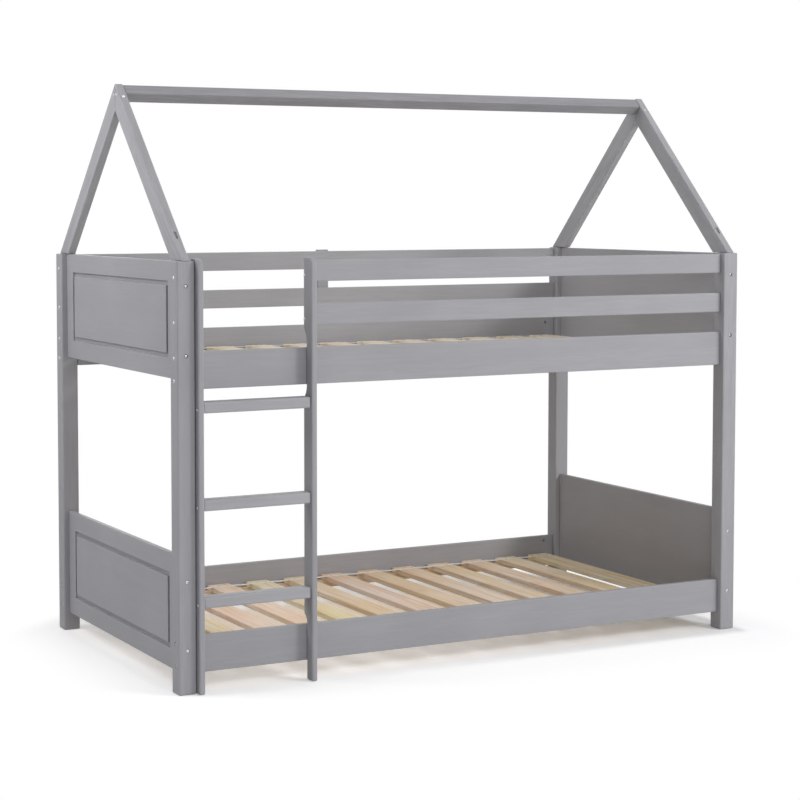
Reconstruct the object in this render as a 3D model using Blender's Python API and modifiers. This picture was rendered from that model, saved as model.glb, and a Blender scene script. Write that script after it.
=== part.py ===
"""House-roof bunk bed, in metres with +Z up.

The bed stands on the plane z = 0 and is centred on the origin. Its length runs along X and
its depth along Y. The ladder is at the front (-Y), beside the left front post (-X).
"""

import math

import bmesh
import bpy
from mathutils import Matrix, Vector

# Overall sizes
BED_LENGTH = 1.980
BED_DEPTH = 1.030
LOWER_RAIL_BOTTOM = 0.057
UPPER_RAIL_BOTTOM = 0.874
ROOF_RISE = 0.526

# Posts, and the boards that stand centred in them
POST_SIDE = 0.054
BOARD_THICK = 0.018
SIDE_RAIL_HEIGHT = 0.108
END_PANEL_HEIGHT = 0.338
GUARD_HEIGHT = 0.062
GUARD_SPACE = 0.0655
POST_ABOVE_GUARD = 0.003
PANEL_BELOW_POST_TOP = 0.001

# Routed groove on the outer face of each end panel
GROOVE_MARGIN = 0.0585
GROOVE_WIDTH = 0.013
GROOVE_DEPTH = 0.007

# Batten that ties the back rails together
BATTEN_WIDTH = 0.042
BATTEN_OFF_CENTRE = 0.016
BATTEN_ABOVE_GUARD = 0.005

# Ladder
LADDER_CLEAR_WIDTH = 0.3405
LADDER_OFF_POST = 0.0015
LADDER_STAND_OUT = 0.020
LADDER_ABOVE_POST = 0.006
STILE_THICK = 0.018
STILE_TOP_RADIUS = 0.022
NOTCH_ABOVE_RAIL = 0.015
NOTCH_BELOW_RAIL = 0.001
NOTCH_SWEEP_RADIUS = 0.050
STEP_ABOVE_RAIL = 0.002
STEP_SWEEP_RADIUS = 0.028
RUNG_COUNT = 3
RUNG_HEIGHT = 0.033
RUNG_DEPTH = 0.040
RUNG_SET_BACK = 0.006
TOP_RUNG_BELOW_RAIL = 0.034

# Roof
RAFTER_THICK = 0.026
RAFTER_DEPTH = 0.058
RIDGE_SIDE = 0.038
RIDGE_BELOW_APEX = 0.003

# Slatted bases
LEDGER_THICK = 0.020
LEDGER_HEIGHT = 0.027
SLAT_COUNT = 13
SLAT_WIDTH = 0.080
SLAT_THICK = 0.017
SLAT_END_CLEARANCE = 0.004
SLAT_ROW_MARGIN = 0.050

# Drilled holes
BOLT_RADIUS = 0.0060
BOLT_DEPTH = 0.0060
RAIL_BOLT_HEIGHTS = (0.025, 0.089)
GUARD_BOLT_BELOW_CENTRE = 0.014
PANEL_BOLT_SPREAD = 0.099
BARREL_NUT_RADIUS = 0.0050
BARREL_NUT_DEPTH = 0.0100
BARREL_NUT_FROM_POST = 0.039
RAFTER_HOLE_RADIUS = 0.0050
RAFTER_HOLE_DEPTH = 0.0260
RAFTER_HOLE_FROM_FRONT = 0.077
CUT_OVERRUN = 0.004

# Rounded edges and the gap between pieces that touch
POST_ROUND = 0.0040
BOARD_ROUND = 0.0025
LADDER_ROUND = 0.0045
ROOF_ROUND = 0.0030
SLAT_ROUND = 0.0020
GROOVE_ROUND = 0.0012
SEAT_GAP = 0.0003

# Counts of flats on round work
ROUND_SEGMENTS = 2
FINE_SEGMENTS = 1
HOLE_SIDES = 12
ARC_STEPS = 6
SHARP_ANGLE = math.radians(40)

# Places worked out from the sizes
LEFT = -BED_LENGTH / 2
RIGHT = BED_LENGTH / 2
FRONT = (LADDER_STAND_OUT - BED_DEPTH) / 2
BACK = FRONT + BED_DEPTH
MIDDLE = (FRONT + BACK) / 2
INSET = (POST_SIDE - BOARD_THICK) / 2
RAIL_ENDS = (LEFT + POST_SIDE + SEAT_GAP, RIGHT - POST_SIDE - SEAT_GAP)
PANEL_ENDS = (FRONT + POST_SIDE + SEAT_GAP, BACK - POST_SIDE - SEAT_GAP)

UPPER_RAIL_TOP = UPPER_RAIL_BOTTOM + SIDE_RAIL_HEIGHT
LOWER_RAIL_TOP = LOWER_RAIL_BOTTOM + SIDE_RAIL_HEIGHT
MIDDLE_GUARD_BOTTOM = UPPER_RAIL_TOP + GUARD_SPACE
TOP_GUARD_BOTTOM = MIDDLE_GUARD_BOTTOM + GUARD_HEIGHT + GUARD_SPACE
GUARD_TOP = TOP_GUARD_BOTTOM + GUARD_HEIGHT
POST_HEIGHT = GUARD_TOP + POST_ABOVE_GUARD
UPPER_PANEL_BOTTOM = POST_HEIGHT - PANEL_BELOW_POST_TOP - END_PANEL_HEIGHT
RAIL_BOTTOMS = {"lower": LOWER_RAIL_BOTTOM, "upper": UPPER_RAIL_BOTTOM}
PANEL_BOTTOMS = {"lower": LOWER_RAIL_BOTTOM, "upper": UPPER_PANEL_BOTTOM}
GUARD_BOTTOMS = {"middle": MIDDLE_GUARD_BOTTOM, "top": TOP_GUARD_BOTTOM}

LADDER_LEFT = LEFT + POST_SIDE + LADDER_OFF_POST
LEFT_STILE = (LADDER_LEFT, LADDER_LEFT + STILE_THICK)
RIGHT_STILE = (LEFT_STILE[1] + LADDER_CLEAR_WIDTH, LEFT_STILE[1] + LADDER_CLEAR_WIDTH + STILE_THICK)
LADDER_FRONT = FRONT - LADDER_STAND_OUT
RAIL_FRONT = FRONT + INSET
LADDER_TOP = POST_HEIGHT + LADDER_ABOVE_POST
RUNG_PITCH = (UPPER_RAIL_BOTTOM - TOP_RUNG_BELOW_RAIL) / RUNG_COUNT

# Turns an outline drawn in local X and Y into one that stands in the world's Y and Z
STANDING = (math.pi / 2, 0, math.pi / 2)


def new_collection(name):
    collection = bpy.data.collections.new(name)
    bpy.context.scene.collection.children.link(collection)
    return collection


def new_material(name, colour, roughness):
    material = bpy.data.materials.new(name)
    material.use_nodes = True
    shader = material.node_tree.nodes["Principled BSDF"]
    shader.inputs["Base Color"].default_value = (*colour, 1)
    shader.inputs["Roughness"].default_value = roughness
    shader.inputs["Metallic"].default_value = 0
    material.diffuse_color = (*colour, 1)
    return material


def add_object(name, mesh, material, collection):
    mesh.materials.clear()
    if material:
        mesh.materials.append(material)
    mesh.shade_smooth()
    mesh.set_sharp_from_angle(angle=SHARP_ANGLE)
    piece = bpy.data.objects.new(name, mesh)
    collection.objects.link(piece)
    return piece


def round_edges(piece, radius, segments=ROUND_SEGMENTS):
    bevel = piece.modifiers.new("rounded edges", "BEVEL")
    bevel.width = radius
    bevel.segments = segments
    bevel.limit_method = "ANGLE"
    bevel.angle_limit = SHARP_ANGLE


def add_block(name, size, place, material, radius, segments=ROUND_SEGMENTS):
    """A block of the given size, centred on place, with rounded edges."""
    bm = bmesh.new()
    bmesh.ops.create_cube(bm, size=1)
    bmesh.ops.scale(bm, vec=size, verts=bm.verts)
    mesh = bpy.data.meshes.new(name)
    bm.to_mesh(mesh)
    bm.free()
    piece = add_object(name, mesh, material, bed)
    piece.location = place
    round_edges(piece, radius, segments)
    return piece


def add_board(name, x_span, y_span, z_span, material, radius, segments=ROUND_SEGMENTS):
    """A block that fills the three spans."""
    spans = (x_span, y_span, z_span)
    size = [abs(high - low) for low, high in spans]
    place = [(low + high) / 2 for low, high in spans]
    return add_block(name, size, place, material, radius, segments)


def add_profile(name, outline, x_span, material, radius):
    """A board cut to an outline of (y, z) points, standing across the given span of X."""
    curve = bpy.data.curves.new(name, "CURVE")
    curve.dimensions = "2D"
    curve.fill_mode = "BOTH"
    curve.extrude = (x_span[1] - x_span[0]) / 2
    spline = curve.splines.new("POLY")
    spline.points.add(len(outline) - 1)
    for point, (y, z) in zip(spline.points, outline):
        point.co = (y, z, 0, 1)
    spline.use_cyclic_u = True
    drawn = bpy.data.objects.new(name, curve)
    bpy.context.scene.collection.objects.link(drawn)
    mesh = mesh_of(drawn)
    piece = add_object(name, mesh, material, bed)
    piece.rotation_euler = STANDING
    piece.location = ((x_span[0] + x_span[1]) / 2, 0, 0)
    round_edges(piece, radius)
    return piece


def mesh_of(drawn):
    """The closed mesh of a curve object, which is removed."""
    bpy.context.view_layer.update()
    graph = bpy.context.evaluated_depsgraph_get()
    mesh = bpy.data.meshes.new_from_object(drawn.evaluated_get(graph))
    bm = bmesh.new()
    bm.from_mesh(mesh)
    bmesh.ops.remove_doubles(bm, verts=bm.verts, dist=SEAT_GAP / 10)
    bmesh.ops.dissolve_limit(bm, angle_limit=math.radians(1), verts=bm.verts, edges=bm.edges)
    bmesh.ops.recalc_face_normals(bm, faces=bm.faces)
    bm.to_mesh(mesh)
    bm.free()
    mesh.name = drawn.name
    bpy.data.objects.remove(drawn)
    return mesh


def cut(piece, cutter):
    cutter.hide_render = True
    cutter.display_type = "WIRE"
    boolean = piece.modifiers.new("cut", "BOOLEAN")
    boolean.operation = "DIFFERENCE"
    boolean.solver = "EXACT"
    boolean.object = cutter


def drill(piece, holes):
    """Drills blind holes, each given as its mouth, its direction into the wood, radius and depth."""
    bm = bmesh.new()
    for mouth, inward, radius, depth in holes:
        axis = Vector(inward).normalized()
        centre = Vector(mouth) + axis * (depth - CUT_OVERRUN) / 2
        turn = Vector((0, 0, 1)).rotation_difference(axis).to_matrix().to_4x4()
        bmesh.ops.create_cone(
            bm,
            cap_ends=True,
            segments=HOLE_SIDES,
            radius1=radius,
            radius2=radius,
            depth=depth + CUT_OVERRUN,
            matrix=Matrix.Translation(centre) @ turn,
        )
    mesh = bpy.data.meshes.new(piece.name + "_holes")
    bm.to_mesh(mesh)
    bm.free()
    cut(piece, add_object(mesh.name, mesh, None, cutters))


def arc(centre, radius, start, end):
    """Points of an arc in the Y and Z plane, between two angles in degrees."""
    points = []
    for step in range(ARC_STEPS + 1):
        angle = math.radians(start + (end - start) * step / ARC_STEPS)
        points.append((centre[0] + radius * math.cos(angle), centre[1] + radius * math.sin(angle)))
    return points


def add_posts():
    rail_bolts = [bottom + height for bottom in RAIL_BOTTOMS.values() for height in RAIL_BOLT_HEIGHTS]
    guard_bolts = [
        bottom + GUARD_HEIGHT / 2 - GUARD_BOLT_BELOW_CENTRE for bottom in GUARD_BOTTOMS.values()
    ]
    panel_bolts = [
        bottom + END_PANEL_HEIGHT / 2 + side * PANEL_BOLT_SPREAD
        for bottom in PANEL_BOTTOMS.values()
        for side in (-1, 1)
    ]
    for end, outer_x, inward_x in (("left", LEFT, 1), ("right", RIGHT, -1)):
        for face, outer_y, inward_y in (("front", FRONT, 1), ("back", BACK, -1)):
            centre_x = outer_x + inward_x * POST_SIDE / 2
            centre_y = outer_y + inward_y * POST_SIDE / 2
            post = add_block(
                f"post_{face}_{end}",
                (POST_SIDE, POST_SIDE, POST_HEIGHT),
                (centre_x, centre_y, POST_HEIGHT / 2),
                painted,
                POST_ROUND,
            )
            holes = [
                ((outer_x, centre_y, z), (inward_x, 0, 0), BOLT_RADIUS, BOLT_DEPTH)
                for z in rail_bolts + guard_bolts
            ]
            holes += [
                ((centre_x, outer_y, z), (0, inward_y, 0), BOLT_RADIUS, BOLT_DEPTH)
                for z in panel_bolts
            ]
            drill(post, holes)


def add_end_panels():
    for end, outer_x, inward in (("left", LEFT, 1), ("right", RIGHT, -1)):
        face_x = outer_x + inward * INSET
        for level, bottom in PANEL_BOTTOMS.items():
            panel = add_board(
                f"end_panel_{level}_{end}",
                (face_x, face_x + inward * BOARD_THICK),
                PANEL_ENDS,
                (bottom, bottom + END_PANEL_HEIGHT),
                painted,
                BOARD_ROUND,
            )
            cut_groove(panel, face_x, inward, bottom)
            round_edges(panel, GROOVE_ROUND, FINE_SEGMENTS)


def cut_groove(panel, face_x, inward, bottom):
    """Cuts the rectangular groove into a panel's outer face."""
    curve = bpy.data.curves.new(panel.name + "_groove", "CURVE")
    curve.dimensions = "2D"
    curve.fill_mode = "BOTH"
    curve.extrude = (GROOVE_DEPTH + CUT_OVERRUN) / 2
    for inset in (GROOVE_MARGIN, GROOVE_MARGIN + GROOVE_WIDTH):
        low_y = PANEL_ENDS[0] + inset
        high_y = PANEL_ENDS[1] - inset
        low_z = bottom + inset
        high_z = bottom + END_PANEL_HEIGHT - inset
        corners = ((low_y, low_z), (high_y, low_z), (high_y, high_z), (low_y, high_z))
        spline = curve.splines.new("POLY")
        spline.points.add(len(corners) - 1)
        for point, (y, z) in zip(spline.points, corners):
            point.co = (y, z, 0, 1)
        spline.use_cyclic_u = True
    drawn = bpy.data.objects.new(curve.name, curve)
    bpy.context.scene.collection.objects.link(drawn)
    cutter = add_object(curve.name, mesh_of(drawn), None, cutters)
    cutter.rotation_euler = STANDING
    cutter.location.x = face_x + inward * (GROOVE_DEPTH - CUT_OVERRUN) / 2
    cut(panel, cutter)


def add_rails():
    for face, outer_y, inward in (("front", FRONT, 1), ("back", BACK, -1)):
        outer = outer_y + inward * INSET
        inner = outer + inward * BOARD_THICK
        for level, bottom in RAIL_BOTTOMS.items():
            rail = add_board(
                f"side_rail_{level}_{face}",
                RAIL_ENDS,
                (outer, inner),
                (bottom, bottom + SIDE_RAIL_HEIGHT),
                painted,
                BOARD_ROUND,
            )
            drill(
                rail,
                [
                    (
                        (x, inner, bottom + max(RAIL_BOLT_HEIGHTS)),
                        (0, -inward, 0),
                        BARREL_NUT_RADIUS,
                        BARREL_NUT_DEPTH,
                    )
                    for x in (RAIL_ENDS[0] + BARREL_NUT_FROM_POST, RAIL_ENDS[1] - BARREL_NUT_FROM_POST)
                ],
            )
            add_board(
                f"slat_ledger_{level}_{face}",
                RAIL_ENDS,
                (inner + inward * SEAT_GAP, inner + inward * (SEAT_GAP + LEDGER_THICK)),
                (bottom, bottom + LEDGER_HEIGHT),
                bare if level == "lower" else painted,
                SLAT_ROUND,
                FINE_SEGMENTS,
            )
        guard_start = RIGHT_STILE[1] + SEAT_GAP if face == "front" else RAIL_ENDS[0]
        for level, bottom in GUARD_BOTTOMS.items():
            add_board(
                f"guard_rail_{face}_{level}",
                (guard_start, RAIL_ENDS[1]),
                (outer, inner),
                (bottom, bottom + GUARD_HEIGHT),
                painted,
                BOARD_ROUND,
            )


def add_back_batten():
    centre = (LEFT + RIGHT) / 2 - BATTEN_OFF_CENTRE
    inner = BACK - INSET + SEAT_GAP
    add_board(
        "guard_batten_back",
        (centre - BATTEN_WIDTH / 2, centre + BATTEN_WIDTH / 2),
        (inner, BACK),
        (UPPER_RAIL_BOTTOM, GUARD_TOP + BATTEN_ABOVE_GUARD),
        painted,
        BOARD_ROUND,
    )


def sweep(face, level, radius, way):
    """Points of the arc from the notched edge out to the back edge. It rises where way is 1."""
    reach = BOARD_THICK + SEAT_GAP
    turn = math.degrees(math.acos(1 - reach / radius))
    centre = (face + radius, level)
    return arc(centre, radius, 180, 180 - way * turn)


def add_ladder():
    notch = RAIL_FRONT - SEAT_GAP
    step = sweep(notch, LOWER_RAIL_TOP + STEP_ABOVE_RAIL, STEP_SWEEP_RADIUS, 1)
    below = sweep(notch, UPPER_RAIL_BOTTOM - NOTCH_BELOW_RAIL, NOTCH_SWEEP_RADIUS, -1)
    above = sweep(notch, UPPER_RAIL_TOP + NOTCH_ABOVE_RAIL, NOTCH_SWEEP_RADIUS, 1)
    back_edge = above[-1][0]
    corner = arc(
        (LADDER_FRONT + STILE_TOP_RADIUS, LADDER_TOP - STILE_TOP_RADIUS), STILE_TOP_RADIUS, 90, 180
    )
    outline = [(LADDER_FRONT, 0), (notch, 0)]
    outline += step
    outline += reversed(below)
    outline += above
    outline += [(back_edge, LADDER_TOP)]
    outline += corner
    for side, x_span in (("left", LEFT_STILE), ("right", RIGHT_STILE)):
        add_profile(f"ladder_stile_{side}", outline, x_span, painted, LADDER_ROUND)
    rung_front = LADDER_FRONT + RUNG_SET_BACK
    for number in range(1, RUNG_COUNT + 1):
        top = number * RUNG_PITCH
        add_board(
            f"ladder_rung_{number}",
            (LEFT_STILE[1] + SEAT_GAP, RIGHT_STILE[0] - SEAT_GAP),
            (rung_front, rung_front + RUNG_DEPTH),
            (top - RUNG_HEIGHT, top),
            painted,
            LADDER_ROUND,
        )


def add_roof():
    seat = POST_HEIGHT + SEAT_GAP
    apex = seat + ROOF_RISE
    slope = math.atan2(ROOF_RISE, BED_DEPTH / 2)
    seat_length = RAFTER_DEPTH / math.sin(slope)
    plumb_depth = RAFTER_DEPTH / math.cos(slope)
    post_inset = (POST_SIDE - RAFTER_THICK) / 2
    hole_top = seat + RAFTER_HOLE_FROM_FRONT * math.tan(slope)
    for end, outer_x, inward in (("left", LEFT, 1), ("right", RIGHT, -1)):
        edges = (outer_x + inward * post_inset, outer_x + inward * (post_inset + RAFTER_THICK))
        centre_x = sum(edges) / 2
        for face, outer_y, inward_y in (("front", FRONT, 1), ("back", BACK, -1)):
            joint = MIDDLE - inward_y * SEAT_GAP / 2
            outline = [
                (outer_y, seat),
                (outer_y + inward_y * seat_length, seat),
                (joint, apex - plumb_depth),
                (joint, apex),
            ]
            rafter = add_profile(f"rafter_{face}_{end}", outline, sorted(edges), painted, ROOF_ROUND)
            mouth = Vector((centre_x, outer_y + inward_y * RAFTER_HOLE_FROM_FRONT, hole_top))
            target = Vector((centre_x, outer_y + inward_y * POST_SIDE / 2, POST_HEIGHT))
            drill(rafter, [(mouth, target - mouth, RAFTER_HOLE_RADIUS, RAFTER_HOLE_DEPTH)])
    half_length = BED_LENGTH / 2 - post_inset - RAFTER_THICK - SEAT_GAP
    half_diagonal = RIDGE_SIDE / math.sqrt(2)
    ridge = add_block(
        "ridge_beam",
        (2 * half_length, RIDGE_SIDE, RIDGE_SIDE),
        ((LEFT + RIGHT) / 2, MIDDLE, apex - RIDGE_BELOW_APEX - half_diagonal),
        painted,
        ROOF_ROUND,
    )
    ridge.rotation_euler.x = math.pi / 4


def add_slats():
    row_start = LEFT + INSET + BOARD_THICK + SLAT_ROW_MARGIN
    row_end = RIGHT - INSET - BOARD_THICK - SLAT_ROW_MARGIN
    pitch = (row_end - row_start - SLAT_WIDTH) / (SLAT_COUNT - 1)
    end_inset = INSET + BOARD_THICK + SLAT_END_CLEARANCE
    for level, rail_bottom in RAIL_BOTTOMS.items():
        bottom = rail_bottom + LEDGER_HEIGHT + SEAT_GAP
        for number in range(SLAT_COUNT):
            start = row_start + number * pitch
            add_board(
                f"slat_{level}_{number + 1:02d}",
                (start, start + SLAT_WIDTH),
                (FRONT + end_inset, BACK - end_inset),
                (bottom, bottom + SLAT_THICK),
                bare,
                SLAT_ROUND,
                FINE_SEGMENTS,
            )


for old in list(bpy.data.objects):
    bpy.data.objects.remove(old)
bed = new_collection("bunk_bed")
cutters = new_collection("cutters")
painted = new_material("grey_paint", (0.33, 0.33, 0.34), 0.45)
bare = new_material("bare_pine", (0.66, 0.50, 0.36), 0.60)

add_posts()
add_end_panels()
add_rails()
add_back_batten()
add_ladder()
add_roof()
add_slats()
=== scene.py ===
"""The looks of the house-roof bunk bed: paint, pine, steel, slat tapes, floor, light and camera."""

import math

import bmesh
import bpy
from mathutils import Matrix, Vector


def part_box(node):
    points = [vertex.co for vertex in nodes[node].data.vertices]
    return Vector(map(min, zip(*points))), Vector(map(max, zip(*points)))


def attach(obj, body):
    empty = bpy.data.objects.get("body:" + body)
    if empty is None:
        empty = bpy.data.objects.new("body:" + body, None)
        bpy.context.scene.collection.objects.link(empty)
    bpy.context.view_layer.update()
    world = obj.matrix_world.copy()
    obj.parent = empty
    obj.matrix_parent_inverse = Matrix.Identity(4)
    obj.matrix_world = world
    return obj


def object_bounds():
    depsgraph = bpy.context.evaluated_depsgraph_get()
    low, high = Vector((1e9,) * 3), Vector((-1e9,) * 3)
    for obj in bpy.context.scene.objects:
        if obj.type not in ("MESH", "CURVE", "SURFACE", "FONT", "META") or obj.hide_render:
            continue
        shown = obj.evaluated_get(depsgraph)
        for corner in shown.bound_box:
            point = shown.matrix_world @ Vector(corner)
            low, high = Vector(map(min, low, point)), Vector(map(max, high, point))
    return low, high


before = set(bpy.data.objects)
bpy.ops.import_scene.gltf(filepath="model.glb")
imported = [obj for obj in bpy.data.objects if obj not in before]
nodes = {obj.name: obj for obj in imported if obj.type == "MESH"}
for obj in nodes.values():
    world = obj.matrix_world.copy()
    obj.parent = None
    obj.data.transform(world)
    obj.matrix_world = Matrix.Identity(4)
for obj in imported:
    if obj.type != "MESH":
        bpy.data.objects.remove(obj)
cad_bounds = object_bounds()

LEVELS = ("lower", "upper")
MM = 0.001

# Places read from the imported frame
LEFT, RIGHT = cad_bounds[0].x, cad_bounds[1].x
POST_LOW, POST_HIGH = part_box("post_front_left")
POST_SIDE = POST_HIGH.x - POST_LOW.x
POST_HEIGHT = POST_HIGH.z
FRONT = POST_LOW.y
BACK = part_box("post_back_left")[1].y
MIDDLE = (FRONT + BACK) / 2
HALF_DEPTH = (BACK - FRONT) / 2
RAIL_BOTTOMS = [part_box(f"side_rail_{level}_front")[0].z for level in LEVELS]
ROOF_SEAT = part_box("rafter_front_left")[0].z
RUNG_COUNT = sum(name.startswith("ladder_rung_") for name in nodes)
SLAT_COUNT = sum(name.startswith("slat_lower_") for name in nodes)
FIRST_SLAT, LAST_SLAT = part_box("slat_lower_01"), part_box(f"slat_lower_{SLAT_COUNT:02d}")
SLAT_START = FIRST_SLAT[0].x
SLAT_WIDTH = FIRST_SLAT[1].x - SLAT_START
SLAT_PITCH = (LAST_SLAT[0].x - SLAT_START) / (SLAT_COUNT - 1)
SLAT_GAP = SLAT_PITCH - SLAT_WIDTH

# The roof's rise before its edges are rounded, which the rafters' boxes don't give
ROOF_RISE = 0.526
ROOF_SLOPE = ROOF_RISE / HALF_DEPTH

# Where the drilled holes are, from the pieces that they are in
RAIL_BOLT_HEIGHTS = (0.025, 0.089)
GUARD_BOLT_BELOW_CENTRE = 0.014
PANEL_BOLT_SPREAD = 0.099
BARREL_NUT_FROM_END = 0.039
RAFTER_HOLE_FROM_FRONT = 0.077
RAFTER_SCREW_DEPTH = 0.024


def centre_height(name):
    low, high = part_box(name)
    return (low.z + high.z) / 2


GUARD_BOLTS = [
    centre_height(f"guard_rail_front_{level}") - GUARD_BOLT_BELOW_CENTRE
    for level in ("middle", "top")
]
PANEL_BOLTS = [
    centre_height(f"end_panel_{level}_left") + side * PANEL_BOLT_SPREAD
    for level in LEVELS
    for side in (-1, 1)
]


class Graph:
    """A material and short ways to add its nodes."""

    def __init__(self, name):
        self.material = bpy.data.materials.new(name)
        self.material.use_nodes = True
        self.tree = self.material.node_tree
        self.shader = self.tree.nodes["Principled BSDF"]

    def node(self, kind, inputs=None, **settings):
        """Adds a node and fills its inputs, which are given by name or number."""
        made = self.tree.nodes.new("ShaderNode" + kind)
        for key, value in settings.items():
            setattr(made, key, value)
        for key, value in (inputs or {}).items():
            self.put(made.inputs[key], value)
        return made

    def put(self, socket, value):
        """Links a socket to another node's output, or sets it to a plain value."""
        if isinstance(value, bpy.types.NodeSocket):
            self.tree.links.new(value, socket)
        else:
            socket.default_value = value

    def math(self, operation, *values, clamp=False):
        made = self.node("Math", operation=operation, use_clamp=clamp)
        for socket, value in zip(made.inputs, values):
            self.put(socket, value)
        return made.outputs[0]

    def vector(self, operation, *values):
        made = self.node("VectorMath", operation=operation)
        for socket, value in zip(made.inputs, values):
            self.put(socket, value)
        return made.outputs[0]

    def noise(self, vector, scale, detail=2.0, roughness=0.5, distortion=0.0):
        inputs = {"Vector": vector, "Scale": scale, "Detail": detail}
        inputs.update({"Roughness": roughness, "Distortion": distortion})
        return self.node("TexNoise", inputs).outputs["Fac"]

    def stretched(self, vector, stretch, settings):
        """A noise that is finer along some axes than along others."""
        return self.noise(self.vector("MULTIPLY", vector, stretch), *settings)

    def ramp(self, factor, low, high, start=0.0, end=1.0, smooth=True):
        """A value that runs from start to end as factor runs from low to high."""
        made = self.node("MapRange", interpolation_type="SMOOTHSTEP" if smooth else "LINEAR")
        for socket, value in zip(made.inputs, (factor, low, high, start, end)):
            self.put(socket, value)
        return made.outputs[0]

    def mix(self, factor, first, second, blend="MIX"):
        made = self.node("Mix", data_type="RGBA", blend_type=blend)
        self.put(made.inputs[0], factor)
        self.put(made.inputs[6], first)
        self.put(made.inputs[7], second)
        return made.outputs[2]

    def bump(self, height, distance, strength=1.0):
        made = self.node("Bump", {"Height": height, "Distance": distance, "Strength": strength})
        self.tree.links.new(made.outputs[0], self.shader.inputs["Normal"])

    def finish(self, colour, roughness, **constants):
        """Fills the shader's inputs and gives the material."""
        self.put(self.shader.inputs["Base Color"], colour)
        self.put(self.shader.inputs["Roughness"], roughness)
        for key, value in constants.items():
            self.shader.inputs[key.replace("_", " ")].default_value = value
        return self.material


def linear(red, green, blue):
    """A colour given in 0 to 255 screen values, taken back through the sRGB curve."""
    values = []
    for value in (red, green, blue):
        value /= 255
        values.append(value / 12.92 if value <= 0.04045 else ((value + 0.055) / 1.055) ** 2.4)
    return (*values, 1)


def plain_grey(level):
    return linear(level, level, level)


# Values of a noise between which a tone or a roughness runs from its low to its high end
WIDE_SPAN = (0.3, 0.7)
GRAIN_SPAN = (0.34, 0.66)
BAND_SPAN = (0.36, 0.64)
PATCH_SPAN = (0.35, 0.68)
STREAK_SPAN = (0.48, 0.66)
FIBRE_SPAN = (0.45, 0.70)
WEAVE_SPAN = (0.1, 0.8)
SOIL_SPAN = (0.45, 0.80)

# Paint: its grey and tint on the screen, and the steps of grain and bands from that grey
PAINT_GREY = 167
PAINT_TINT = (0.5, -0.5, 3.0)
GRAIN_STEPS = (-4, 3)
BAND_STEP = -5
BAND_SHARE = 0.6
CLOUD_GREYS = (248, 255)

# Noises of the paint, with the grain along the first axis: how much finer each axis is, and the
# scale, detail, roughness and distortion
GRAIN_STRETCH = (1.0, 17.0, 17.0)
GRAIN_NOISE = (9.0, 5.0, 0.62, 0.5)
BAND_STRETCH = (0.5, 9.0, 9.0)
BAND_NOISE = (2.6, 3.0)
CLOUD_SCALE = 3.2
ROLLER_SCALE = 620.0

# The paint's relief, in metres and as shares of it, and its gloss
PAINT_RELIEF = 0.0003
PAINT_RELIEF_SHARE = 0.35
ROLLER_SHARE = 0.1
GRAIN_SHARE = 0.7
PAINT_ROUGHNESS = (0.44, 0.56)
PAINT_SPECULAR = 0.2


def cool_grey(level):
    return linear(*(level + tint for tint in PAINT_TINT))


def grain_space(graph, turn):
    """Object coordinates turned so that the grain runs along the first axis."""
    place = graph.node("TexCoord").outputs["Object"]
    return graph.node("Mapping", {"Vector": place, "Rotation": turn}).outputs[0]


def paint(name, turn, contrast=1.0, shade=0):
    """Satin grey paint on pine: roller texture, and grain that shows faintly through."""
    graph = Graph(name)
    place = grain_space(graph, turn)
    grain = graph.stretched(place, GRAIN_STRETCH, GRAIN_NOISE)
    bands = graph.stretched(place, BAND_STRETCH, BAND_NOISE)
    cloud = graph.noise(place, CLOUD_SCALE)
    roller = graph.noise(place, ROLLER_SCALE)
    # shade steps the grey up or down: painted light or painted shade for how light falls on a piece
    middle = PAINT_GREY + shade
    dark, light = (cool_grey(middle + step * contrast) for step in GRAIN_STEPS)
    band = cool_grey(middle + BAND_STEP * contrast)
    tone = graph.mix(graph.ramp(grain, *GRAIN_SPAN), dark, light)
    tone = graph.mix(graph.ramp(bands, *BAND_SPAN, 0.0, BAND_SHARE), tone, band)
    dim, full = (plain_grey(level) for level in CLOUD_GREYS)
    clouds = graph.mix(graph.ramp(cloud, *WIDE_SPAN), dim, full)
    colour = graph.mix(1.0, tone, clouds, "MULTIPLY")
    grain_height = graph.math("MULTIPLY", grain, GRAIN_SHARE)
    height = graph.math("MULTIPLY_ADD", roller, ROLLER_SHARE, grain_height)
    graph.bump(height, PAINT_RELIEF, PAINT_RELIEF_SHARE)
    mean = graph.math("MULTIPLY", graph.math("ADD", roller, grain), 1 / 2)
    rough = graph.ramp(mean, *WIDE_SPAN, *PAINT_ROUGHNESS)
    return graph.finish(colour, rough, Specular_IOR_Level=PAINT_SPECULAR)


# Colours of pine on the screen. Of the pairs, each slat has its own mixture.
PALE_WOOD = ((248, 240, 212), (250, 231, 219))
WARM_WOOD = ((240, 226, 176), (240, 207, 183))
LATE_WOOD = (226, 184, 142)
STREAK_WOOD = (216, 174, 138)
FIBRE_WOOD = (194, 160, 128)
HALO_WOOD = (206, 158, 110)
KNOT_WOOD = (118, 78, 50)
# Pale cream mixed into the upper slats: painted light for the light that falls on them
PAINTED_LIGHT_WOOD = (255, 246, 228)
LATE_SHARE = 0.36
STREAK_SHARE = 0.5
FIBRE_SHARE = 0.14
HALO_SHARE = 0.35

# Height between the two bases' numbers, and the steps that give each slat a log of its own
LEVEL_STEP = 0.5
LEVEL_SEED = 37.0
CUT_SPREAD = (13.0, 17.0, 11.0)

# Knots are cells of a pattern. Each has a core and a halo, as shares of a cell.
KNOT_CELLS = 6.5
KNOT_STRETCH = (1.0, 0.8, 0.0)
KNOT_PICK = (0.46, 0.50)
KNOT_CORE_SHARES = (0.085, 0.045)
KNOT_HALO_SHARES = (0.26, 0.05)
WOBBLE_SCALE = 90.0
WOBBLE_SHARE = 0.035

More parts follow.
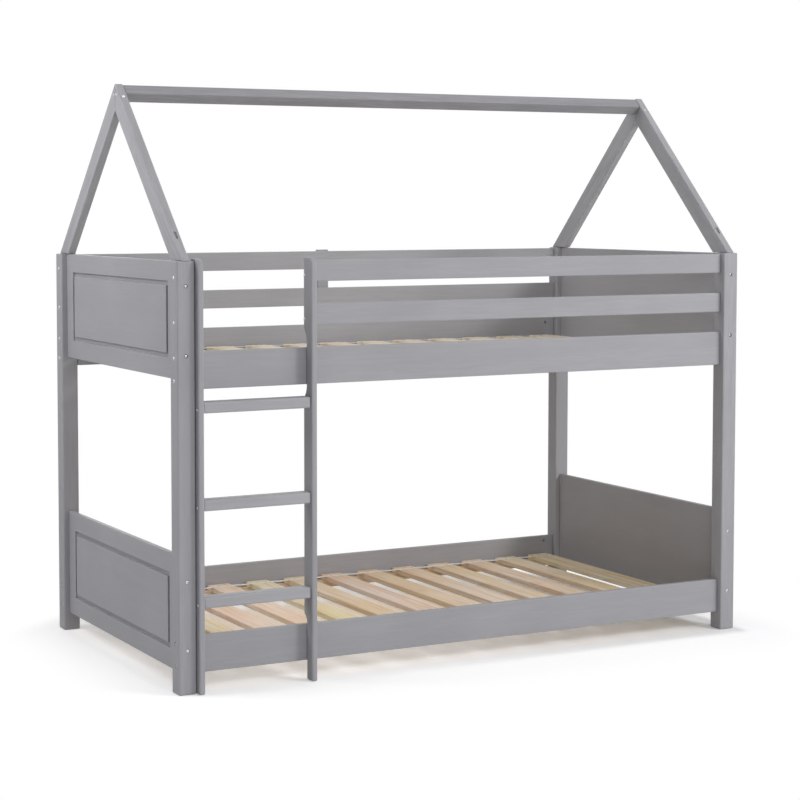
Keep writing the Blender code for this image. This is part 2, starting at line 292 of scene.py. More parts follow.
# Growth rings, in metres: how far off the log's middle can be, and the bends round waves and
# knots. Late wood comes on slowly and ends sharply, as shares of a ring.
RINGS_PER_METRE = 155.0
PITH_ASIDE = 0.11
PITH_BELOW = 0.05
BEND_STRETCH = (4.0, 1.1, 4.0)
BEND_NOISE = (1.0,)
RING_BEND = 0.055
KNOT_BEND = 0.012
LATE_START_SHARES = (0.25, 0.86)
LATE_END_SHARES = (1.0, 0.9)

# Noises of the pine, given like the paint's, with the grain along the second axis
STREAK_STRETCH = (1.0, 0.03, 1.0)
STREAK_NOISE = (75.0, 4.0, 0.6)
FIBRE_STRETCH = (1.0, 0.02, 1.0)
FIBRE_NOISE = (520.0, 3.0, 0.6)
PATCH_STRETCH = (1.0, 0.25, 1.0)
PATCH_NOISE = (9.0, 3.0)

# The pine's relief, in metres and as shares of it, and its gloss
PINE_RELIEF = 0.0004
PINE_RELIEF_SHARE = 0.5
FIBRE_HEIGHT_SHARE = 0.6
LATE_HEIGHT_SHARE = 0.4
PINE_ROUGHNESS = (0.56, 0.70)
PINE_SPECULAR = 0.35


def pine(name, along_y, painted_light_share=0.0):
    """Planed pine with growth rings, streaks and knots, and a share of pale cream as painted light.
    """
    graph = Graph(name)
    own, from_pith, hue = own_cut(graph, along_y)
    knot, halo = knot_pattern(graph, own)
    late = late_wood(graph, own, from_pith, halo)
    streaks = graph.stretched(own, STREAK_STRETCH, STREAK_NOISE)
    fibre = graph.stretched(own, FIBRE_STRETCH, FIBRE_NOISE)
    patch = graph.stretched(own, PATCH_STRETCH, PATCH_NOISE)
    pale, warm = (
        graph.mix(hue, linear(*first), linear(*second)) for first, second in (PALE_WOOD, WARM_WOOD)
    )
    body = graph.mix(graph.ramp(patch, *PATCH_SPAN), pale, warm)
    layers = (
        (graph.math("MULTIPLY", late, LATE_SHARE), LATE_WOOD),
        (graph.ramp(streaks, *STREAK_SPAN, 0.0, STREAK_SHARE), STREAK_WOOD),
        (graph.ramp(fibre, *FIBRE_SPAN, 0.0, FIBRE_SHARE), FIBRE_WOOD),
        (graph.math("MULTIPLY", halo, HALO_SHARE), HALO_WOOD),
        (knot, KNOT_WOOD),
        (painted_light_share, PAINTED_LIGHT_WOOD),
    )
    for share, wood in layers:
        body = graph.mix(share, body, linear(*wood))
    late_height = graph.math("MULTIPLY", late, LATE_HEIGHT_SHARE)
    fibre_height = graph.math("MULTIPLY", fibre, FIBRE_HEIGHT_SHARE)
    height = graph.math("SUBTRACT", fibre_height, late_height)
    graph.bump(height, PINE_RELIEF, PINE_RELIEF_SHARE)
    rough = graph.ramp(fibre, *WIDE_SPAN, *PINE_ROUGHNESS)
    return graph.finish(body, rough, Specular_IOR_Level=PINE_SPECULAR)


def own_cut(graph, along_y):
    """Each slat's place in a log of its own, the way across and down to the pith, and its hue."""
    place = graph.node("TexCoord").outputs["Object"]
    x, y, z = graph.node("SeparateXYZ", {0: place}).outputs
    if not along_y:
        x, y = y, x
    along_row = graph.math("SUBTRACT", x, SLAT_START - SLAT_GAP / 2)
    slat = graph.math("FLOOR", graph.math("DIVIDE", along_row, SLAT_PITCH))
    level = graph.math("FLOOR", graph.math("DIVIDE", z, LEVEL_STEP))
    number = graph.math("MULTIPLY_ADD", level, LEVEL_SEED, slat)
    seed = graph.node("TexWhiteNoise", {"W": number}, noise_dimensions="1D")
    seeds = graph.node("SeparateColor", {0: seed.outputs["Color"]}).outputs
    shift = graph.node("CombineXYZ", {0: seeds[0], 1: seeds[1], 2: seeds[2]}).outputs[0]
    away = graph.vector("MULTIPLY", shift, CUT_SPREAD)
    flat = graph.node("CombineXYZ", {0: x, 1: y, 2: z}).outputs[0]
    own = graph.vector("ADD", flat, away)
    across = graph.math("MULTIPLY_ADD", seeds[1], PITH_ASIDE, x)
    deep = graph.math("MULTIPLY_ADD", seeds[2], PITH_BELOW, z)
    return own, (across, deep), seed.outputs["Value"]


def knot_pattern(graph, own):
    """Scattered knots: one in the core, and one falling to nothing over the halo."""
    place = graph.vector("MULTIPLY", own, KNOT_STRETCH)
    knots = graph.node("TexVoronoi", {"Vector": place, "Scale": KNOT_CELLS, "Randomness": 1.0})
    pick = graph.node("SeparateColor", {0: knots.outputs["Color"]}).outputs[0]
    present = graph.ramp(pick, *KNOT_PICK)
    wobble = graph.math("MULTIPLY", graph.noise(own, WOBBLE_SCALE), WOBBLE_SHARE)
    reach = graph.math("ADD", knots.outputs["Distance"], wobble)
    core = graph.math("MULTIPLY", graph.ramp(reach, *KNOT_CORE_SHARES), present)
    halo = graph.math("MULTIPLY", graph.ramp(reach, *KNOT_HALO_SHARES), present)
    return core, halo


def late_wood(graph, own, from_pith, halo):
    """One in the dark part of each growth ring. The rings bend round waves and knots."""
    across, deep = from_pith
    bend = graph.stretched(own, BEND_STRETCH, BEND_NOISE)
    push = graph.math("MULTIPLY_ADD", halo, KNOT_BEND, graph.math("MULTIPLY", bend, RING_BEND))
    bent = graph.math("ADD", across, push)
    squares = graph.math("ADD", graph.math("POWER", bent, 2.0), graph.math("POWER", deep, 2.0))
    radius = graph.math("SQRT", squares)
    ring = graph.math("FRACT", graph.math("MULTIPLY", radius, RINGS_PER_METRE))
    start = graph.ramp(ring, *LATE_START_SHARES)
    return graph.math("MULTIPLY", start, graph.ramp(ring, *LATE_END_SHARES))


# Steel: its colours on the screen, the haze and the duller patches, and relief in metres
ZINC_COLOUR = (216, 218, 220)
ZINC_ROUGHNESS = 0.27
WIRE_COLOUR = (196, 196, 196)
WIRE_ROUGHNESS = 0.38
DULL_COLOUR = (186, 188, 190)
DULL_SCALE = 160.0
HAZE_NOISE = (900.0, 3.0)
STEEL_RELIEF = 0.00008
STEEL_RELIEF_SHARE = 0.4
ROUGHNESS_SPREAD = 0.06


def steel(name, colour, roughness):
    """Zinc-plated steel with a fine haze and duller patches."""
    graph = Graph(name)
    place = graph.node("TexCoord").outputs["Object"]
    haze = graph.noise(place, *HAZE_NOISE)
    patch = graph.noise(place, DULL_SCALE)
    tone = graph.mix(graph.ramp(patch, *WIDE_SPAN), linear(*colour), linear(*DULL_COLOUR))
    graph.bump(haze, STEEL_RELIEF, STEEL_RELIEF_SHARE)
    low, high = roughness - ROUGHNESS_SPREAD, roughness + ROUGHNESS_SPREAD
    return graph.finish(tone, graph.ramp(haze, *WIDE_SPAN, low, high), Metallic=1.0)


# Tape: its colours on the screen, the darker one painted shade in the weave's valleys, the weave's
# waves as direction, scale and distortion, the soiling, and relief in metres
TAPE_COLOURS = ((240, 236, 226), (253, 251, 245))
SOIL_COLOUR = (232, 224, 208)
SOIL_SHARE = 0.25
SOIL_NOISE = (34.0, 3.0)
WEAVE_WAVES = (("X", 260.0, 0.6), ("Y", 200.0, 0.4))
WEAVE_RELIEF = 0.0003
WEAVE_RELIEF_SHARE = 0.7
TAPE_ROUGHNESS = 0.85
TAPE_SPECULAR = 0.2
TAPE_SHEEN = 0.25


def tape(name):
    """White woven polyester tape with ribs across it."""
    graph = Graph(name)
    place = graph.node("TexCoord").outputs["Object"]
    threads = []
    for direction, scale, distortion in WEAVE_WAVES:
        inputs = {"Vector": place, "Scale": scale, "Distortion": distortion}
        threads.append(graph.node("TexWave", inputs, bands_direction=direction).outputs["Fac"])
    weave = graph.math("MULTIPLY", *threads)
    soil = graph.noise(place, *SOIL_NOISE)
    valley, crest = (linear(*colour) for colour in TAPE_COLOURS)
    # Darker in the weave's valleys: painted shade
    colour = graph.mix(graph.ramp(weave, *WEAVE_SPAN), valley, crest)
    soiled = graph.ramp(soil, *SOIL_SPAN, 0.0, SOIL_SHARE)
    colour = graph.mix(soiled, colour, linear(*SOIL_COLOUR))
    graph.bump(weave, WEAVE_RELIEF, WEAVE_RELIEF_SHARE)
    gloss = {"Specular_IOR_Level": TAPE_SPECULAR, "Sheen_Weight": TAPE_SHEEN}
    return graph.finish(colour, TAPE_ROUGHNESS, **gloss)


SHARP_ANGLE = math.radians(35)


def finish_piece(name, bm, material):
    """Makes a piece of the bed from a mesh and gives it its body and material slot."""
    mesh = bpy.data.meshes.new(name)
    bm.to_mesh(mesh)
    bm.free()
    mesh.materials.append(material)
    mesh.shade_smooth()
    mesh.set_sharp_from_angle(angle=SHARP_ANGLE)
    piece = bpy.data.objects.new(name, mesh)
    bpy.context.scene.collection.objects.link(piece)
    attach(piece, "root")


# Outlines of the recess in a fastener's head, as the share of its radius at each step round it
HEAD_STEPS = 24
STEP_ANGLE = math.tau / HEAD_STEPS
HALF_HEX = math.pi / 6
HEX_SHARES = [
    math.cos(HALF_HEX) / math.cos(step * STEP_ANGLE % (2 * HALF_HEX) - HALF_HEX)
    for step in range(HEAD_STEPS)
]
CROSS_SHARES = [1.0, 0.55, 0.32, 0.32, 0.32, 0.55] * 4
SLOT_SHARES = ([1.0, 0.62] + [0.2] * 9 + [0.62]) * 2

# Profiles of the heads in millimetres: radius, height, and whether the ring follows the recess
SUNK_BOLT_RINGS = (
    (4.5, -5.5, False),
    (4.5, -2.6, False),
    (4.3, -1.9, False),
    (3.6, -1.3, False),
    (2.7, -1.0, False),
    (2.6, -1.1, True),
    (2.3, -1.5, True),
    (2.2, -3.8, True),
)
BOLT_RINGS = (
    (5.2, -4.0, False),
    (5.2, -0.3, False),
    (4.9, 0.2, False),
    (4.1, 0.8, False),
    (2.9, 1.0, False),
    (2.8, 0.9, True),
    (2.5, 0.5, True),
    (2.3, -2.2, True),
)
NUT_RINGS = (
    (4.6, -9.5, False),
    (4.6, -5.6, False),
    (4.2, -5.2, False),
    (3.6, -5.2, True),
    (3.4, -6.8, True),
)
SCREW_RINGS = (
    (3.9, -0.4, False),
    (4.2, 0.1, False),
    (3.8, 0.5, False),
    (2.6, 0.6, True),
    (2.1, 0.2, True),
    (1.2, -0.2, True),
)
PAN_RINGS = (
    (2.2, -1.0, False),
    (4.5, 0.05, False),
    (4.6, 0.8, False),
    (4.0, 1.6, False),
    (2.8, 2.1, False),
    (2.4, 2.1, True),
    (1.9, 1.3, True),
    (1.0, 0.9, True),
)
DEEP_SCREW_RINGS = (
    (4.6, -1.0, False),
    (4.6, 0.2, False),
    (4.1, 0.6, False),
    (2.8, 0.6, True),
    (2.2, -0.9, True),
)


def add_head(bm, place, outward, rings, shares, turn=0.0):
    """Adds one fastener head that stands on the surface at place and looks outward."""
    way = Vector(outward).normalized()
    stand = Vector((0, 0, 1)).rotation_difference(way).to_matrix().to_4x4()
    spin = Matrix.Rotation(turn, 4, "Z")
    move = Matrix.Translation(place) @ stand @ spin @ Matrix.Scale(MM, 4)
    loops = []
    for radius, height, shaped in rings:
        loop = []
        for step in range(HEAD_STEPS):
            angle = step * STEP_ANGLE
            reach = radius * (shares[step] if shaped else 1.0)
            corner = Vector((reach * math.cos(angle), reach * math.sin(angle), height))
            loop.append(bm.verts.new(move @ corner))
        loops.append(loop)
    floor_height = rings[-1][1]
    middle = bm.verts.new(move @ Vector((0, 0, floor_height)))
    for step in range(HEAD_STEPS):
        after = (step + 1) % HEAD_STEPS
        for first, second in zip(loops, loops[1:]):
            bm.faces.new((first[step], first[after], second[after], second[step]))
        bm.faces.new((loops[-1][step], loops[-1][after], middle))
    bm.faces.new(list(reversed(loops[0])))


BOLT_TURN = 1.7


def add_post_bolts(zinc):
    """Bolts in the holes of the posts. Those of the lower rails and upper panels are sunk."""
    bm = bmesh.new()
    rail_heights = [[bottom + height for height in RAIL_BOLT_HEIGHTS] for bottom in RAIL_BOTTOMS]
    sunk = rail_heights[0] + PANEL_BOLTS[2:]
    for end_x, out_x in ((LEFT, -1), (RIGHT, 1)):
        for side_y, out_y in ((FRONT, -1), (BACK, 1)):
            centre_x = end_x - out_x * POST_SIDE / 2
            centre_y = side_y - out_y * POST_SIDE / 2
            for z in rail_heights[0] + rail_heights[1] + GUARD_BOLTS:
                rings = SUNK_BOLT_RINGS if z in sunk else BOLT_RINGS
                add_head(bm, (end_x, centre_y, z), (out_x, 0, 0), rings, HEX_SHARES, z * BOLT_TURN)
            for z in PANEL_BOLTS:
                rings = SUNK_BOLT_RINGS if z in sunk else BOLT_RINGS
                add_head(bm, (centre_x, side_y, z), (0, out_y, 0), rings, HEX_SHARES, z * BOLT_TURN)
    finish_piece("post_bolts", bm, zinc)


NUT_TURN = 0.4


def add_barrel_nuts(zinc):
    """Slotted nuts in the side rails' inner faces, one near each end."""
    bm = bmesh.new()
    for level in LEVELS:
        for face, inward in (("front", 1), ("back", -1)):
            low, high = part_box(f"side_rail_{level}_{face}")
            y = high.y if inward == 1 else low.y
            z = low.z + max(RAIL_BOLT_HEIGHTS)
            for end_x, way in ((low.x, 1), (high.x, -1)):
                place = (end_x + way * BARREL_NUT_FROM_END, y, z)
                add_head(bm, place, (0, inward, 0), NUT_RINGS, SLOT_SHARES, way * NUT_TURN)
    finish_piece("barrel_nuts", bm, zinc)


RIDGE_SCREW_FROM_MIDDLE = 0.040
RIDGE_SCREW_TURN = 0.04
APEX_SCREW_FROM_MIDDLE = 0.010
APEX_SCREW_DROP = 0.034
APEX_SCREW_TURN = 0.4


def add_roof_screws(zinc):
    """Deep screws from the rafters into the posts, and surface screws at the apex."""
    bm = bmesh.new()
    for end, out_x in (("left", -1), ("right", 1)):
        low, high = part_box(f"rafter_front_{end}")
        centre_x = (low.x + high.x) / 2
        face_x = low.x if out_x == -1 else high.x
        for side_y, inward in ((FRONT, 1), (BACK, -1)):
            hole_y = side_y + inward * RAFTER_HOLE_FROM_FRONT
            mouth = Vector((centre_x, hole_y, ROOF_SEAT + RAFTER_HOLE_FROM_FRONT * ROOF_SLOPE))
            target = Vector((centre_x, side_y + inward * POST_SIDE / 2, POST_HEIGHT))
            way = (target - mouth).normalized()
            add_head(bm, mouth + way * RAFTER_SCREW_DEPTH, -way, DEEP_SCREW_RINGS, CROSS_SHARES)
            top_y = MIDDLE - inward * RIDGE_SCREW_FROM_MIDDLE
            top = (centre_x, top_y, apex_height(RIDGE_SCREW_FROM_MIDDLE))
            upward = (0, -inward * ROOF_SLOPE, 1)
            add_head(bm, top, upward, SCREW_RINGS, CROSS_SHARES, RIDGE_SCREW_TURN)
            side_z = apex_height(0) - APEX_SCREW_DROP
            side = (face_x, MIDDLE - inward * APEX_SCREW_FROM_MIDDLE, side_z)
            add_head(bm, side, (out_x, 0, 0), SCREW_RINGS, CROSS_SHARES, inward * APEX_SCREW_TURN)
    finish_piece("roof_screws", bm, zinc)


def apex_height(from_middle):
    """Height of the rafters' upper faces at a distance from the middle plane."""
    return ROOF_SEAT + ROOF_RISE - from_middle * ROOF_SLOPE


RUNG_SCREW_FROM_FRONT = 0.012
RUNG_SCREW_BELOW_CENTRE = 0.006


def add_ladder_screws(zinc):
    """Screws through the stiles into the rungs' ends and into the ends of the guard rails."""
    bm = bmesh.new()
    left_low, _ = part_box("ladder_stile_left")
    right_low, right_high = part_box("ladder_stile_right")
    for number in range(1, RUNG_COUNT + 1):
        z = centre_height(f"ladder_rung_{number}") - RUNG_SCREW_BELOW_CENTRE
        y = left_low.y + RUNG_SCREW_FROM_FRONT
        add_head(bm, (left_low.x, y, z), (-1, 0, 0), PAN_RINGS, CROSS_SHARES, z)
        add_head(bm, (right_high.x, y, z), (1, 0, 0), PAN_RINGS, CROSS_SHARES, z)
    for z in GUARD_BOLTS:
        place = (right_low.x, FRONT + POST_SIDE / 2, z)
        add_head(bm, place, (-1, 0, 0), PAN_RINGS, CROSS_SHARES, z)
    finish_piece("ladder_screws", bm, zinc)


LEDGER_SCREW_DROP = 0.0135


def add_ledger_screws(zinc):
    """One screw in each gap between slats, through the ledger into the side rail."""
    bm = bmesh.new()
    for level in LEVELS:
        for face, inward in (("front", 1), ("back", -1)):
            low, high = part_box(f"slat_ledger_{level}_{face}")
            y = high.y if inward == 1 else low.y
            for number in range(SLAT_COUNT - 1):
                x = SLAT_START + number * SLAT_PITCH + SLAT_WIDTH + SLAT_GAP / 2
                place = (x, y, high.z - LEDGER_SCREW_DROP)
                add_head(bm, place, (0, inward, 0), SCREW_RINGS, CROSS_SHARES, number)
    finish_piece("ledger_screws", bm, zinc)


# Tapes, in metres, and where the staples are across a slat as shares of its width
TAPE_WIDTH = 0.018
TAPE_THICK = 0.0007
TAPE_FROM_END = 0.043
TAPE_END_MARGIN = 0.006
TAPE_LIFT = 0.0001
TAPE_DIP = 0.0016
TAPE_STEPS_PER_SLAT = 24
TAPE_ROW_SHARES = (-0.5, -0.25, 0.0, 0.25, 0.5)
STAPLE_SHARES = (0.28, 0.72)
STAPLE_TWIST = 0.35
STAPLE_TWIST_STEPS = (2.1, 9.0)

# Waves of the tapes: half their height in metres, and how fast they turn along and across
TAPE_SWAY = 0.0009
TAPE_SWAY_TURNS = (9.0, 5.0)
TAPE_RIPPLE = 0.0005
TAPE_RIPPLE_TURNS = 31.0
TAPE_CURL_TURNS = (57.0, 6.0)


def add_tapes(cloth, wire):
    """The two tapes that join each base's slats, with two staples in each slat."""
    for level in LEVELS:
        low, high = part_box(f"slat_{level}_01")
        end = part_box(f"slat_{level}_{SLAT_COUNT:02d}")[1].x - TAPE_END_MARGIN
        start = low.x + TAPE_END_MARGIN
        lines = {"front": low.y + TAPE_FROM_END, "back": high.y - TAPE_FROM_END}
        for side, y in lines.items():
            add_tape(f"tape_{level}_{side}", start, end, y, high.z, cloth)
        bm = bmesh.new()
        for number in range(SLAT_COUNT):
            for y in lines.values():
                for share in STAPLE_SHARES:
                    x = low.x + number * SLAT_PITCH + share * SLAT_WIDTH
                    by_number, by_share = STAPLE_TWIST_STEPS
                    turn = STAPLE_TWIST * math.sin(number * by_number + share * by_share)
                    add_staple(bm, Vector((x, y, high.z + TAPE_THICK + 2 * TAPE_LIFT)), turn)
        finish_piece(f"staples_{level}", bm, wire)


def add_tape(name, start, end, y, top, cloth):
    """One tape along a row of slats. It sways a little and dips between the slats."""
    bm = bmesh.new()
    steps = TAPE_STEPS_PER_SLAT * SLAT_COUNT
    rows = []
    for step in range(steps + 1):
        x = start + (end - start) * step / steps
        past = max((x - SLAT_START) % SLAT_PITCH - SLAT_WIDTH, 0) / SLAT_GAP
        z = top + TAPE_LIFT + TAPE_THICK / 2 - TAPE_DIP * math.sin(math.pi * past) ** 2
        sway = TAPE_SWAY * math.sin(x * TAPE_SWAY_TURNS[0] + y * TAPE_SWAY_TURNS[1])
        sway += TAPE_RIPPLE * math.sin(x * TAPE_RIPPLE_TURNS)
        row = []
        for across in TAPE_ROW_SHARES:
            phase = x * TAPE_CURL_TURNS[0] + across * TAPE_CURL_TURNS[1]
            curl = TAPE_LIFT * (1 + math.cos(phase)) if past else 0
            for up in (0.5, -0.5):
                place = (x, y + sway + across * TAPE_WIDTH, z + curl + up * TAPE_THICK)
                row.append(bm.verts.new(place))
        rows.append(row)
    count = 2 * len(TAPE_ROW_SHARES)
    around = [*range(0, count, 2), *range(count - 1, 0, -2)]
    for first, second in zip(rows, rows[1:]):
        for corner, after in zip(around, around[1:] + around[:1]):
            bm.faces.new((first[corner], second[corner], second[after], first[after]))
    bm.faces.new([rows[0][corner] for corner in around])
    bm.faces.new([rows[-1][corner] for corner in reversed(around)])
    bmesh.ops.recalc_face_normals(bm, faces=bm.faces)
    finish_piece(name, bm, cloth)


STAPLE_HALF = 0.0050
STAPLE_CROWN_HALF = 0.0045
STAPLE_THICK = 0.0005
STAPLE_DROP = 0.0012


def add_staple(bm, place, turn):
    """A bent wire crown with its two legs going into the wood."""
    spin = Matrix.Translation(place) @ Matrix.Rotation(turn, 4, "Z")
    leg = [(-STAPLE_HALF, -STAPLE_DROP), (-STAPLE_HALF, 0), (-STAPLE_CROWN_HALF, STAPLE_THICK)]
    path = leg + [(-x, z) for x, z in reversed(leg)]
    square = ((-STAPLE_THICK, 0), (0, STAPLE_THICK), (STAPLE_THICK, 0), (0, -STAPLE_THICK))
    loops = [
        [bm.verts.new(spin @ Vector((x, side, z + up))) for side, up in square]
        for x, z in path
    ]
    for first, second in zip(loops, loops[1:]):
        for corner in range(len(square)):
            after = (corner + 1) % len(square)
            bm.faces.new((first[corner], first[after], second[after], second[corner]))
    bm.faces.new(loops[0])
    bm.faces.new(list(reversed(loops[-1])))


def dress_nodes():
    """Gives every CAD node a finish whose grain follows its length."""
    slope = math.atan(ROOF_SLOPE)
    quarter = math.pi / 2
    along_x, along_y, along_z = (0, 0, 0), (0, 0, -quarter), (0, quarter, 0)
    up_front, up_back = (0, quarter, -slope), (0, quarter, slope)
    rails = paint("grey_paint_along_x", along_x, contrast=0.8)
    uprights = paint("grey_paint_along_z", along_z)
    finishes = {
        "slat_ledger_lower": pine("pine_ledgers", along_y=False),
        # The upper slats get a share of pale cream: painted light
        "slat_upper": pine("pine_upper_slats", along_y=True, painted_light_share=0.4),
        "slat_lower": pine("pine_lower_slats", along_y=True),
        "end_panel": paint("grey_paint_panels", along_y, contrast=0.7),
        "post": uprights,
        "ladder_stile": uprights,
        "guard_batten": uprights,
        # Rafters and rungs: lighter grey, painted light; ridge: darker grey, painted shade
        "rafter_front": paint("grey_paint_front_slope", up_front, contrast=2.0, shade=4),
        "rafter_back": paint("grey_paint_back_slope", up_back, contrast=2.0, shade=4),
        "ridge_beam": paint("grey_paint_ridge", along_x, contrast=2.0, shade=-11),
        "ladder_rung": paint("grey_paint_rungs", along_x, shade=8),
    }
    for name, piece in nodes.items():
        kind = next((kind for kind in finishes if name.startswith(kind)), None)
        piece.data.materials.clear()
        piece.data.materials.append(finishes.get(kind, rails))


FLOOR_RADIUS = 40.0
FLOOR_STEPS = 96
FLOOR_HEIGHT = -0.0005
FLOOR_GREY = 244
FLOOR_ROUGHNESS = 0.8
WHITE = (1, 1, 1, 1)

# Where the shadow is kept, in metres: round the bed it fades over SHADOW_REACH. Behind the bed
# the kept part goes on for BEHIND_REACH and gets shorter. Past the ends it fades faster.
SHADOW_REACH = (0.0, 0.42)
BEHIND_REACH = 0.35
NARROWS = (-0.1, 0.4)
NARROWER = 0.45
END_PACE = 1.7

# Painted light: a glow that the floor gives off where it is seen, added to the kept shadow, by
# place:
# from left to right within the outline, outside it, behind the bed and under the slats. Behind the
# bed and under the slats it is warm, painted light bounced off the pine.
LIFT_ALONG = (-0.50, 0.90)
LIFT_AMOUNTS = (0.33, 0.12)
LIFT_EDGE = (0.0, 0.06)
LIFT_OUTSIDE = 0.36
BACK_EDGE = (-0.1, 0.2)
BEHIND_PAINTED_BOUNCE = (0.29, 0.26, 0.235, 1)
UNDER_BED = (0.22, 0.45)
UNDER_BED_ENDS = (0.12, 0.5)
UNDER_BED_PAST_BACK = (-0.12, 0.12)
UNDER_SLATS_PAINTED_BOUNCE = (0.267, 0.204, 0.145, 1)


def add_floor():
    """A white round floor under the bed, which is no piece of it."""
    bm = bmesh.new()
    bmesh.ops.create_circle(bm, cap_ends=True, segments=FLOOR_STEPS, radius=FLOOR_RADIUS)
    mesh = bpy.data.meshes.new("floor")
    bm.to_mesh(mesh)
    bm.free()
    mesh.materials.append(floor_white())
    floor = bpy.data.objects.new("floor", mesh)
    floor.location.z = FLOOR_HEIGHT
    bpy.context.scene.collection.objects.link(floor)


def floor_white():
    """Keeps the bed's shadow near it with painted light in it; plain white further out."""
    graph = Graph("floor_white")
    place = graph.node("TexCoord").outputs["Object"]
    across = graph.node("SeparateXYZ", {0: place}).outputs
    past_back = graph.math("SUBTRACT", across[1], BACK)
    reach = past_outline(graph, across, past_back)
    inside = under_slats(graph, across, past_back)
    path = graph.node("LightPath").outputs
    seen = graph.math("MAXIMUM", path["Is Camera Ray"], path["Is Glossy Ray"])
    seen = graph.math("MAXIMUM", seen, path["Is Transmission Ray"])
    graph.finish(plain_grey(FLOOR_GREY), FLOOR_ROUGHNESS, Specular_IOR_Level=0.0)
    amount = graph.ramp(across[0], *LIFT_ALONG, *LIFT_AMOUNTS)
    amount = graph.ramp(reach, *LIFT_EDGE, amount, LIFT_OUTSIDE)
    plain = graph.node("CombineColor", {0: amount, 1: amount, 2: amount}).outputs[0]
    # Warm painted light under the slats and behind the bed, standing in for light bounced off the
    # pine
    plain = graph.mix(graph.ramp(past_back, *BACK_EDGE), plain, BEHIND_PAINTED_BOUNCE)
    painted_glow_colour = graph.mix(inside, plain, UNDER_SLATS_PAINTED_BOUNCE)
    matt = graph.shader.outputs[0]
    glow = graph.node("Emission", {"Color": WHITE, "Strength": 1.0}).outputs[0]
    painted_glow = graph.node("Emission", {"Color": painted_glow_colour, "Strength": 1.0}).outputs[0]
    near = graph.node("AddShader", {0: matt, 1: painted_glow}).outputs[0]
    near = graph.node("MixShader", {0: seen, 1: matt, 2: near}).outputs[0]
    far = graph.math("MULTIPLY", graph.ramp(reach, *SHADOW_REACH), seen)
    final = graph.node("MixShader", {0: far, 1: near, 2: glow}).outputs[0]
    graph.tree.links.new(final, graph.tree.nodes["Material Output"].inputs["Surface"])
    return graph.material


def past_outline(graph, across, past_back):
    """Distance past the outline of the kept shadow, and zero within it."""
    half_length = graph.ramp(past_back, *NARROWS, RIGHT, RIGHT - NARROWER)
    past_end = graph.math("SUBTRACT", graph.math("ABSOLUTE", across[0]), half_length)
    from_middle = graph.math("ABSOLUTE", graph.math("SUBTRACT", across[1], BEHIND_REACH / 2))
    past_side = graph.math("SUBTRACT", from_middle, BACK + BEHIND_REACH / 2)
    squares = []
    for past, pace in ((past_end, END_PACE), (past_side, 1.0)):
        paced = graph.math("MULTIPLY", graph.math("MAXIMUM", past, 0.0), pace)
        squares.append(graph.math("POWER", paced, 2.0))
    return graph.math("POWER", graph.math("ADD", *squares), 0.5)


def under_slats(graph, across, past_back):
    """One under the slats, falling to nothing at the bed's front, back and ends."""
    from_front = graph.ramp(graph.math("SUBTRACT", across[1], FRONT), *UNDER_BED)
    from_end = graph.math("SUBTRACT", RIGHT, graph.math("ABSOLUTE", across[0]))
    behind = graph.ramp(past_back, *UNDER_BED_PAST_BACK, 1.0, 0.0)
    ends = graph.ramp(from_end, *UNDER_BED_ENDS)
    return graph.math("MULTIPLY", behind, graph.math("MULTIPLY", from_front, ends))


WORLD_COLOUR = (0.86, 0.92, 1, 1)
WORLD_STRENGTH = 0.188


def add_world():
    """A dim world that lights the bed, and plain white where the camera sees it."""
    world = bpy.data.worlds.new("studio")
    world.use_nodes = True
    tree = world.node_tree
    dim = tree.nodes["Background"]
    dim.inputs["Color"].default_value = WORLD_COLOUR
    dim.inputs["Strength"].default_value = WORLD_STRENGTH
    white = tree.nodes.new("ShaderNodeBackground")
    white.inputs["Color"].default_value = WHITE
    white.inputs["Strength"].default_value = 1.0
    path = tree.nodes.new("ShaderNodeLightPath")
    seen = path.outputs["Is Camera Ray"]
    for ray in ("Is Glossy Ray", "Is Transmission Ray"):
        either = tree.nodes.new("ShaderNodeMath")
        either.operation = "MAXIMUM"
        tree.links.new(seen, either.inputs[0])
        tree.links.new(path.outputs[ray], either.inputs[1])
        seen = either.outputs[0]
    mix = tree.nodes.new("ShaderNodeMixShader")
    tree.links.new(seen, mix.inputs[0])
    tree.links.new(dim.outputs[0], mix.inputs[1])
    tree.links.new(white.outputs[0], mix.inputs[2])
    tree.links.new(mix.outputs[0], tree.nodes["World Output"].inputs["Surface"])
    bpy.context.scene.world = world


# Each lamp's name, place, the point that it looks at, width in metres and power in watts
BED_MIDDLE = (0.0, 0.0, 0.8)
UPPER_LEFT_END = (-0.9, 0.0, 1.5)
LAMPS = (
    ("key", (3.19, -4.56, 3.05), BED_MIDDLE, 1.5, 123.0),
    ("high_right", (3.92, -3.06, 4.16), BED_MIDDLE, 1.1, 41.0),
    ("front", (-1.2, -5.5, 2.85), BED_MIDDLE, 2.4, 78.0),
    ("left", (-2.72, 0.99, 4.25), BED_MIDDLE, 2.2, 17.0),
    ("near_left", (-2.6, 0.3, 2.3), UPPER_LEFT_END, 1.2, 25.0),
    ("back", (0.8, 5.2, 2.6), BED_MIDDLE, 2.4, 30.0),
    ("top", (0.0, -0.1, 3.4), BED_MIDDLE, 1.6, 7.0),
)


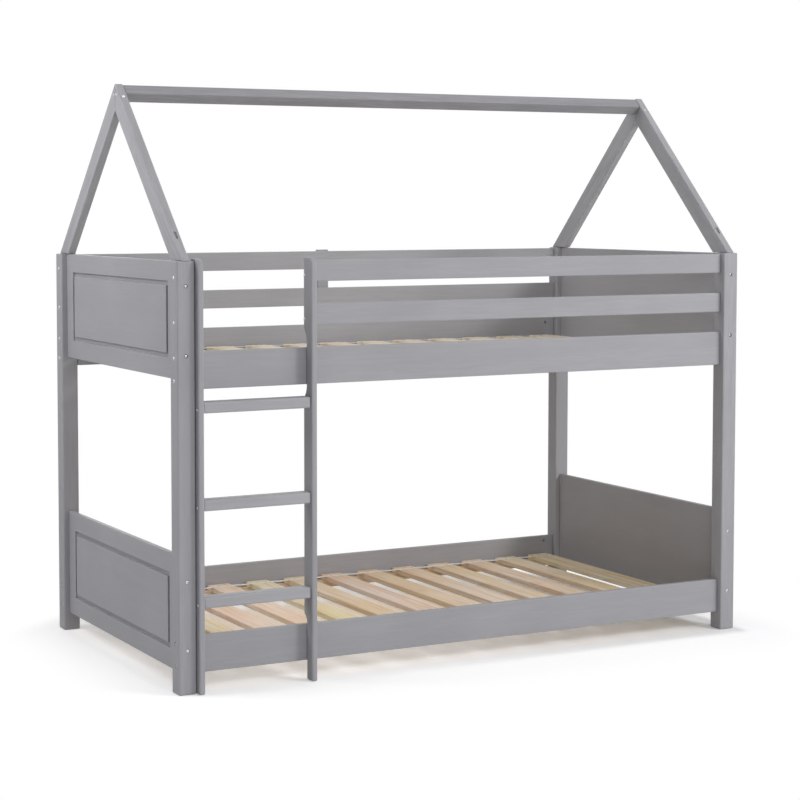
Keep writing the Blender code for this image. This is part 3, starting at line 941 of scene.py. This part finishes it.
def add_lamp(name, place, target, size, power):
    data = bpy.data.lights.new(name, "AREA")
    data.size = size
    data.energy = power
    lamp = bpy.data.objects.new(name, data)
    lamp.location = place
    lamp.rotation_euler = (Vector(target) - Vector(place)).to_track_quat("-Z", "Y").to_euler()
    bpy.context.scene.collection.objects.link(lamp)


# The camera fitted to the photograph's edges, and the pixel at which its axis meets the picture
CAMERA_PLACE = (-3.107, -5.589, 1.396)
CAMERA_YAW = math.radians(26.795)
CAMERA_PITCH = math.radians(-3.501)
CAMERA_ROLL = math.radians(-0.071)
FOCAL_PIXELS = 1953.7
FRAME_PIXELS = 800
CENTRE_PIXELS = (320, 325)
SENSOR_MM = 36.0


def add_camera():
    """The camera fitted to the photograph, with its lens shifted to the fitted centre."""
    data = bpy.data.cameras.new("camera")
    data.sensor_width = SENSOR_MM
    data.lens = FOCAL_PIXELS * SENSOR_MM / FRAME_PIXELS
    data.shift_x = (FRAME_PIXELS / 2 - CENTRE_PIXELS[0]) / FRAME_PIXELS
    data.shift_y = (CENTRE_PIXELS[1] - FRAME_PIXELS / 2) / FRAME_PIXELS
    camera = bpy.data.objects.new("camera", data)
    yaw, pitch, roll = CAMERA_YAW, CAMERA_PITCH, CAMERA_ROLL
    level = math.cos(pitch)
    ahead = Vector((math.sin(yaw) * level, math.cos(yaw) * level, math.sin(pitch)))
    side = Vector((math.cos(yaw), -math.sin(yaw), 0))
    up = side.cross(ahead)
    right = side * math.cos(roll) + up * math.sin(roll)
    top = up * math.cos(roll) - side * math.sin(roll)
    turned = Matrix((right, top, -ahead)).transposed().to_4x4()
    camera.matrix_world = Matrix.Translation(CAMERA_PLACE) @ turned
    bpy.context.scene.collection.objects.link(camera)
    bpy.context.scene.camera = camera


dress_nodes()
zinc = steel("zinc_bolts", ZINC_COLOUR, ZINC_ROUGHNESS)
wire = steel("staple_wire", WIRE_COLOUR, WIRE_ROUGHNESS)
add_post_bolts(zinc)
add_barrel_nuts(zinc)
add_roof_screws(zinc)
add_ladder_screws(zinc)
add_ledger_screws(zinc)
add_tapes(tape("woven_tape"), wire)
add_floor()
add_world()
for lamp in LAMPS:
    add_lamp(*lamp)
add_camera()
bpy.context.scene.view_settings.view_transform = "Standard"
